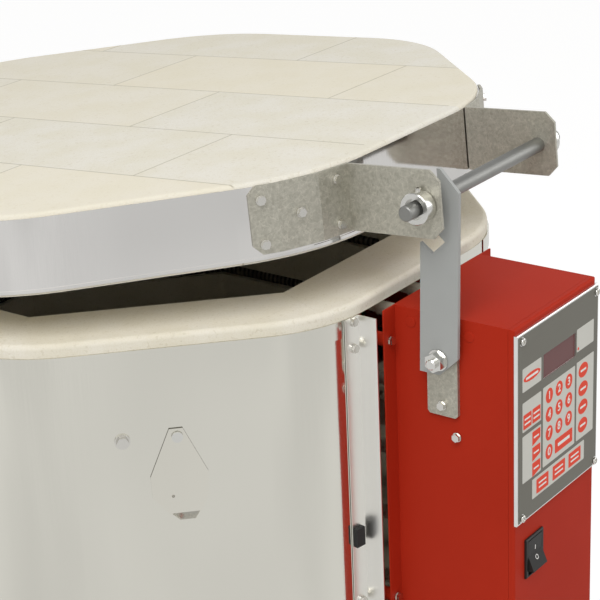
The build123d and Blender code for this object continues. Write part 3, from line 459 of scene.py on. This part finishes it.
# %% Dress the solids
finishes = {
    wall_brick: ["floor_slab", "wall_course_1", "wall_course_2", "wall_course_3",
                 "wall_course_4"],
    lid_brick: ["lid_bricks"],
    jacket_steel: ["jacket", "jacket_top_band", "base_pan"],
    cover_steel: ["peephole_cover_upper", "peephole_cover_lower"],
    band_steel: ["lid_band"],
    angle_steel: ["corner_angle"],
    galvanised: ["bracket_front_left", "bracket_front_right", "bracket_rear_left",
                 "bracket_rear_right", "support_bar", "hinge_plates", "heat_shield"],
    drawn_rod: ["handle_rod", "hinge_rod"],
    bright_zinc: ["handle_collars", "hinge_collars", "pivot_bolt", "pivot_nut", "pivot_washers",
                  "cover_rivets", "board_posts"],
    screw_zinc: ["bracket_screws", "jacket_sheet_screws", "cover_stop_screws",
                 "box_flange_screws", "box_side_screws", "faceplate_screws",
                 "handle_set_screws", "hinge_set_screws"],
    oxide_wire: ["transformer"],
    coil_turns: ["heating_elements"],
    red_coat: ["box_shell", "box_front_cover", "box_standoffs"],
    arm_coat: ["prop_arm"],
    stand_coat: ["stand_ring", "stand_legs", "stand_braces"],
    face_edge: ["faceplate"],
    film_grey: ["keypad_overlay"],
    smoke_red: ["display_window"],
    black_plastic: ["switch_housing", "power_rocker", "display_module", "relays",
                    "terminal_block", "cord_gland"],
    glide_black: ["leg_glides"],
    board_green: ["circuit_board"],
    fired_white: ["element_terminals", "thermocouple_probe", "thermocouple_block"],
}
dressed = set()
for finish, names in finishes.items():
    for name in names:
        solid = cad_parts[name]
        solid.data.materials.clear()
        solid.data.materials.append(finish.material)
        dressed.add(name)
print("without a finish:", sorted(set(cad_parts) - dressed))

# %% [markdown]
# ## Modelling helpers
# A new piece starts as a primitive at its size and place, is shaped in edit mode, and then
# has its place applied, so that its object sits at the origin like the solids do. An
# operator acts on all that is selected, so everything is deselected before each piece.

# %% Start a piece
def start_block(low, high):
    """A block between two corners, as the only selected object."""
    bpy.ops.object.select_all(action="DESELECT")
    middle = (Vector(low) + Vector(high)) / 2
    bpy.ops.mesh.primitive_cube_add(size=1, location=middle, scale=Vector(high) - Vector(low))
    bpy.ops.object.transform_apply(location=False, rotation=False, scale=True)
    return bpy.context.object


def start_disc(middle, radius, depth, facing, corners=32):
    """A short cylinder whose axis points along facing."""
    bpy.ops.object.select_all(action="DESELECT")
    turn = Vector(facing).to_track_quat("Z", "Y").to_euler()
    bpy.ops.mesh.primitive_cylinder_add(vertices=corners, radius=radius, depth=depth,
                                        location=middle, rotation=turn)
    return bpy.context.object


print("a piece starts as a block or a disc")


# %% Shape, settle and join pieces
def shape_edges(piece, chosen, offset, segments):
    """Bevel the edges for which chosen(edge) is true."""
    bpy.ops.object.mode_set(mode="EDIT")
    bpy.ops.mesh.select_all(action="DESELECT")
    bpy.ops.mesh.select_mode(type="EDGE")
    mesh = bmesh.from_edit_mesh(piece.data)
    for edge in mesh.edges:
        edge.select = chosen(edge)
    bmesh.update_edit_mesh(piece.data)
    bpy.ops.mesh.bevel(offset=offset, segments=segments, affect="EDGES")
    bpy.ops.object.mode_set(mode="OBJECT")


def settle(piece, name, body, finish):
    """Apply the place, name the piece, give it its finish and let it ride on its body."""
    bpy.ops.object.select_all(action="DESELECT")
    piece.select_set(True)
    bpy.context.view_layer.objects.active = piece
    bpy.ops.object.transform_apply(location=True, rotation=True, scale=True)
    piece.name = name
    piece.data.materials.clear()
    piece.data.materials.append(finish.material)
    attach(piece, body)
    return piece


def join_all(pieces):
    """Several meshes as one object."""
    bpy.ops.object.select_all(action="DESELECT")
    for piece in pieces:
        piece.select_set(True)
    bpy.context.view_layer.objects.active = pieces[0]
    bpy.ops.object.join()
    return bpy.context.object


print("pieces are shaped, settled and joined")

# %% [markdown]
# ## The printed keypad
# The film on the faceplate is printed with pale panels and red keys. A picture could be laid
# on it, but plates with rounded corners keep every edge sharp. Each panel is a very thin
# plate, and each key lies on it with a soft raised edge, so the print catches a little
# light. Sizes are in millimetres: how far across from the plate's middle, and how far below
# the kiln's rim.

# %% Panels on the film
film_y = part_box("keypad_overlay")[0][1]
rim = 716.0
panel_depth = 0.00010
key_depth = 0.00022
sunk = 0.00004
panel_corner = 0.8
key_corner = 0.6
key_edge_round = 0.00008


def runs_inwards(edge):
    """Whether an edge goes straight into the face, so that it rounds a corner of the plate."""
    return abs((edge.verts[0].co - edge.verts[1].co).normalized().y) > 0.9


def flat_plate(left, right, top, bottom, depth, radius):
    """Plate on the film with rounded corners."""
    plate = start_block((left / 1000, film_y - depth, (rim - bottom) / 1000),
                        (right / 1000, film_y + sunk, (rim - top) / 1000))
    shape_edges(plate, runs_inwards, radius / 1000, 4)
    return plate


panels = ((26.2, 52.2, 36.0, 54.0), (-53.2, -26.6, 37.6, 55.6), (-53.2, -26.6, 63.9, 86.7),
          (-53.2, -26.6, 89.9, 127.0), (-23.8, 23.8, 63.2, 126.4), (26.4, 52.8, 62.4, 126.2),
          (-39.2, 39.2, 129.6, 145.4))
plates = [flat_plate(*panel, panel_depth, panel_corner) for panel in panels]
settle(join_all(plates), "keypad_panels", "kiln", film_pale)
print("panels", len(panels))

# %% [markdown]
# The keys are soft red fields that stand a little above their panel. Round ones start as a
# disc that is stretched to an oval, and square ones are plates like the panels.

# %% Red keys
def many_sided(face):
    return len(face.verts) > 8


def round_key(across, drop, wide, tall):
    """Raised oval key with a softened rim."""
    middle = (across / 1000, film_y - key_depth / 2, (rim - drop) / 1000)
    key = start_disc(middle, 0.001, key_depth, (0, -1, 0), 40)
    key.scale = (wide / 2, tall / 2, 1)
    bpy.ops.object.transform_apply(location=False, rotation=False, scale=True)
    shape_edges(key, lambda edge: any(map(many_sided, edge.link_faces)), key_edge_round, 2)
    return key


columns = (-14.6, -0.1, 14.5)
drops = (72.2, 87.1, 102.0, 117.0)
side_column = 36.6
side_drops = (71.4, 86.4, 101.2, 116.2)
digits = {number: (columns[(number - 1) % 3], drops[(number - 1) // 3])
          for number in range(1, 10)}
digits[0] = (columns[0], drops[3])
squares = ((-5.8, 20.4, 111.6, 122.6), (-52.0, -40.6, 73.6, 84.8),
           (-39.1, -27.7, 73.6, 84.8), (-33.0, -15.4, 132.0, 143.4),
           (-9.0, 9.6, 132.0, 143.4), (15.2, 33.8, 132.0, 143.4))
keys = [round_key(across, drop, 10.4, 11.6) for across, drop in digits.values()]
keys += [round_key(side_column, drop, 14.6, 11.6) for drop in side_drops]
keys.append(round_key(-39.9, 46.6, 23.5, 6.4))
keys += [flat_plate(*square, key_depth, key_corner) for square in squares]
print("keys", len(keys))

# %% [markdown]
# Three small flag-shaped keys stand in a column. Each is a plate whose lower right corner
# is pulled up, so two corners are moved in edit mode.

# %% Flag keys
flag_left = -0.0392
flag_right = -0.0277
flag_top = 91.6
flag_pitch = 12.4
flag_height = 10.8
flag_slope = 0.0028


def flag_key(drop):
    """Plate with its lower right corner pulled up."""
    flag = start_block((flag_left, film_y - key_depth, (rim - drop - flag_height) / 1000),
                       (flag_right, film_y + sunk, (rim - drop) / 1000))
    bpy.ops.object.mode_set(mode="EDIT")
    bpy.ops.mesh.select_all(action="DESELECT")
    bpy.ops.mesh.select_mode(type="VERT")
    mesh = bmesh.from_edit_mesh(flag.data)
    for vert in mesh.verts:
        vert.select = vert.co.x > 0 and vert.co.z < 0
    bmesh.update_edit_mesh(flag.data)
    bpy.ops.transform.translate(value=(0, 0, flag_slope))
    bpy.ops.object.mode_set(mode="OBJECT")
    return flag


flags = [flag_key(flag_top + index * flag_pitch) for index in range(3)]
settle(join_all(keys + flags), "keypad_keys", "kiln", key_red)
print("flag keys", len(flags))

# %% [markdown]
# The numbers are text turned into mesh before its place is applied, standing a hair above
# the keys. The other keys carry short white bars.

# %% Numbers and bars
digit_height = 0.0088
digit_swell = 0.00016
ink = 0.00003
bar_proud = 0.00005
bar_sunk = 0.00002
bar_corner = 0.0003


def upright_number(number, across, drop):
    """A number on the face, as a thin mesh."""
    bpy.ops.object.select_all(action="DESELECT")
    bpy.ops.object.text_add(location=(across / 1000, film_y - key_depth - ink,
                                      (rim - drop) / 1000), rotation=(math.pi / 2, 0, 0))
    text = bpy.context.object
    text.data.body = str(number)
    text.data.align_x = "CENTER"
    text.data.align_y = "CENTER"
    text.data.size = digit_height
    text.data.offset = digit_swell
    text.data.extrude = ink
    bpy.ops.object.convert(target="MESH")
    return bpy.context.object


def bar(left, right, drop, tall=1.3):
    """Short white bar printed on a key."""
    low = (rim - drop - tall / 2) / 1000
    high = (rim - drop + tall / 2) / 1000
    mark = start_block((left / 1000, film_y - key_depth - bar_proud, low),
                       (right / 1000, film_y - key_depth + bar_sunk, high))
    shape_edges(mark, runs_inwards, bar_corner, 2)
    return mark


marks = [upright_number(number, *place) for number, place in digits.items()]
for left, right in ((-50.6, -42.0), (-37.7, -29.1)):
    marks += [bar(left, right, 77.4), bar(left, right, 81.2)]
for left, right in ((-29.8, -18.6), (-5.9, 6.5), (18.4, 30.6)):
    marks += [bar(left, right, 136.0), bar(left, right, 139.6)]
marks += [bar(-37.4, -30.0, drop) for drop in (96.6, 109.0, 121.4)]
marks += [bar(32.4, 40.8, drop, 1.7) for drop in side_drops]
marks += [bar(-48.4, -31.4, 46.6, 1.8), bar(-1.6, 16.2, 117.1, 2.6)]
settle(join_all(marks), "keypad_marks", "kiln", mark_white)
settle(round_key(28.4, 51.6, 2.4, 2.4), "keypad_dot", "kiln", key_red)
print("marks", len(marks))

# %% [markdown]
# ## Marks on the rocker
# The rocker carries a bar above and a ring below. They ride on the rocker, so they are set
# square to its two faces: the upper face stands upright while the lower one is tilted up.
# The ring is a torus pressed nearly flat, which is simpler than cutting a hole in a disc.

# %% Bar and ring
pivot = Vector((-0.0324, -0.3730758, 0.52315))
bar_low = Vector((-0.0004, -0.00708, 0.0036))
bar_high = Vector((0.0004, -0.00690, 0.0072))
face_out = Vector((0, -0.9237, 0.3841))
lower_face = Vector((0, -0.00842, -0.00238))
stroke = start_block(pivot + bar_low, pivot + bar_high)
shape_edges(stroke, runs_inwards, 0.0002, 2)
ring_at = pivot + lower_face + face_out * 0.00006
bpy.ops.object.select_all(action="DESELECT")
bpy.ops.mesh.primitive_torus_add(location=ring_at,
                                 rotation=face_out.to_track_quat("Z", "Y").to_euler(),
                                 major_radius=0.00165, minor_radius=0.00030,
                                 major_segments=40, minor_segments=10)
ring = bpy.context.object
ring.scale = (1, 1, 0.4)
settle(join_all([stroke, ring]), "rocker_marks", "power_rocker", mark_white)
print("rocker marks", [round(v, 4) for v in ring_at])

# %% [markdown]
# ## Small pressed marks
# Spot rivets leave low round domes on the red side, and a small dark weld spot shows on
# each peephole cover. A dome could be cut from a sphere, but a disc whose rim is bevelled
# over several steps sits flat on its sheet. The weld spots ride on their covers.

# %% Domes
def dome(middle, radius, height, facing):
    """Low rounded dome standing on a face."""
    out = Vector(facing).normalized()
    disc = start_disc(Vector(middle) + out * (height / 2), radius, height, out, 28)

    def on_top(edge):
        reach = sum((disc.matrix_world @ v.co - Vector(middle)).dot(out) for v in edge.verts)
        return any(map(many_sided, edge.link_faces)) and reach > height

    shape_edges(disc, on_top, height * 0.9, 4)
    return disc


rivet_places = ((-0.0600, -0.2932, 0.6990), (-0.0600, -0.3420, 0.6975))
rivets = [dome(place, 0.0042, 0.0006, (-1, 0, 0)) for place in rivet_places]
settle(join_all(rivets), "box_spot_rivets", "kiln", red_coat)
cover_out = Vector((-1, -1, 0)).normalized()
cover_run = Vector((1, -1, 0)).normalized()
spot_drop = 0.0102
rivet_levels = {"upper": 0.60085, "lower": 0.37225}
for name, rivet_level in rivet_levels.items():
    middle = cover_out * 0.2814 + cover_run * -0.0022
    middle += Vector((0, kiln_y, rivet_level - spot_drop))
    settle(dome(middle, 0.0012, 0.0003, cover_out), f"cover_pip_{name}",
           f"peephole_cover_{name}", weld_spot)
print("domes", len(rivets) + len(rivet_levels))

# %% [markdown]
# A small black buffer is stuck in the corner of the steel angle, where it keeps the sheets
# apart. It is a block set square to the angle's leg, with all its edges rounded over.

# %% Buffer on the angle
leg_turn = -0.15950
leg_out = Vector((-0.158828, -0.987306, 0))
leg_run = Vector((-0.987306, 0.158828, 0))
leg_corner = Vector((-0.087769, -0.260889, 0.53065))
buffer_size = (0.0090, 0.0040, 0.0154)
seat = leg_corner + leg_out * 0.00098 + leg_run * 0.0022
bpy.ops.object.select_all(action="DESELECT")
bpy.ops.mesh.primitive_cube_add(size=1, location=seat + leg_out * (buffer_size[1] / 2),
                                rotation=(0, 0, leg_turn), scale=buffer_size)
buffer = bpy.context.object
bpy.ops.object.transform_apply(location=False, rotation=False, scale=True)
shape_edges(buffer, lambda edge: True, 0.0006, 3)
settle(buffer, "angle_buffer", "kiln", glide_black)
print("buffer at", [round(v, 4) for v in seat])

# %% [markdown]
# ## Studio
# The picture was taken in a white studio. More light would bleach the kiln, so the white
# comes from what each ray is: rays from the camera, from mirrors and through glass see a
# bright floor and world, while the kiln is lit by gentler ones. Colours then render about
# as they are written, and the floor keeps the kiln's shadow.

# %% Floor
def direct_rays(graph):
    """1 for camera rays, and 1 for camera, mirror and glass rays together."""
    path = graph.node("ShaderNodeLightPath", {}, {})
    eye = graph.wire(path, "Is Camera Ray")
    mirror = graph.wire(path, "Is Glossy Ray")
    glass = graph.wire(path, "Is Transmission Ray")
    return eye, eye.math("MAXIMUM", mirror).math("MAXIMUM", glass)


bpy.ops.object.select_all(action="DESELECT")
bpy.ops.mesh.primitive_plane_add(size=24, location=(0, 0, 0))
floor = bpy.context.object
floor.name = "studio_floor"
floor_glow = (1.2, 1.2, 1.2)
glow_share = 0.7
ground = Finish("studio_floor")
ground.fill({"Base Color": (0.80, 0.80, 0.80, 1), "Roughness": 0.9,
             "Specular IOR Level": 0.0})
streak = ground.noise(0.7, 2).fade(0.35, 0.65)
grey = ground.blend(streak, (0.70, 0.70, 0.70), (0.84, 0.84, 0.84))
eye, direct = direct_rays(ground)
tone = ground.blend(eye, grey, floor_glow)
glow = ground.node("ShaderNodeEmission", {}, {"Color": tone, "Strength": 1.0})
both = ground.node("ShaderNodeMixShader", {}, {0: direct * glow_share,
                                              1: ground.shader.outputs[0],
                                              2: glow.outputs[0]})
ground.feed(ground.tree.nodes["Material Output"], {"Surface": both.outputs[0]})
floor.data.materials.append(ground.material)
print("floor", [round(v, 1) for v in floor.dimensions])

# %% [markdown]
# The world is white to the camera. In reflections it turns darker towards the ceiling, so
# that polished steel shows some shape instead of one white.

# %% World
world = bpy.data.worlds.new("studio_world")
bpy.context.scene.world = world
world.use_nodes = True
sky = Graph(world.node_tree)
facing = sky.node("ShaderNodeTexCoord", {}, {})
height = sky.node("ShaderNodeSeparateXYZ", {}, {"Vector": facing.outputs["Generated"]})
ceiling = sky.node("ShaderNodeMapRange", {}, {"Value": height.outputs["Z"],
                                              "From Min": 0.35, "From Max": 0.65,
                                              "To Min": 1.0, "To Max": 0.45})
eye, direct = direct_rays(sky)
backdrop = sky.wire(ceiling, "Result").math("MAXIMUM", eye)
white = sky.node("ShaderNodeBackground", {}, {"Color": backdrop})
soft = sky.tree.nodes["Background"]
soft_strength = 0.55
sky.feed(soft, {"Color": (1, 0.99, 0.97, 1), "Strength": soft_strength})
pick = sky.node("ShaderNodeMixShader", {}, {0: direct, 1: soft.outputs[0],
                                           2: white.outputs[0]})
sky.feed(sky.tree.nodes["World Output"], {"Surface": pick.outputs[0]})
print("world strength", soft_strength)

# %% [markdown]
# Two large square lamps give soft light: the key lamp stands above and to the left, and the
# weaker fill lamp to the right. Small lamps would draw hard shadows that the picture lacks.

# %% Lamps
def area_lamp(name, spot, aim, size, power):
    """Soft square lamp at spot that points at aim."""
    lamp = bpy.data.lights.new(name, "AREA")
    lamp.energy = power
    lamp.size = size
    holder = bpy.data.objects.new(name, lamp)
    bpy.context.scene.collection.objects.link(holder)
    holder.location = spot
    holder.rotation_euler = (Vector(aim) - Vector(spot)).to_track_quat("-Z", "Y").to_euler()
    return holder


lamps = (area_lamp("key_lamp", (-1.6, -0.9, 2.9), (0, 0, 0.7), 1.6, 42),
         area_lamp("fill_lamp", (1.8, -1.8, 1.6), (0, -0.2, 0.6), 1.4, 12))
print("lamps", [lamp.name for lamp in lamps])

# %% [markdown]
# ## Camera
# The camera's place and turn were worked out from the picture's straight edges. Its lens is
# long, so the kiln is seen from above and to the left with little convergence. Three angles
# give the view: how far round, how far down, and a small roll about the line of sight.

# %% Place the camera
camera_spot = (-1.1079183, -0.9832188, 1.2125768)
around = math.radians(-53.0521)
down = math.radians(21.4846)
roll = math.radians(-2.6129)
forward = Vector((-math.sin(around) * math.cos(down), math.cos(around) * math.cos(down),
                  -math.sin(down)))
sideways = Vector((math.cos(around), math.sin(around), 0))
upward = sideways.cross(forward)
right = sideways * math.cos(roll) + upward * math.sin(roll)
top = upward * math.cos(roll) - sideways * math.sin(roll)
lens = bpy.data.cameras.new("studio_camera")
lens.lens = 113.3376
lens.sensor_width = 36
lens.clip_end = 60
camera = bpy.data.objects.new("studio_camera", lens)
bpy.context.scene.collection.objects.link(camera)
turn = Matrix((right, top, -forward)).transposed().to_4x4()
camera.matrix_world = Matrix.Translation(camera_spot) @ turn
bpy.context.scene.camera = camera
bpy.context.scene.view_settings.view_transform = "Standard"
print("camera", [round(v, 3) for v in camera.location])
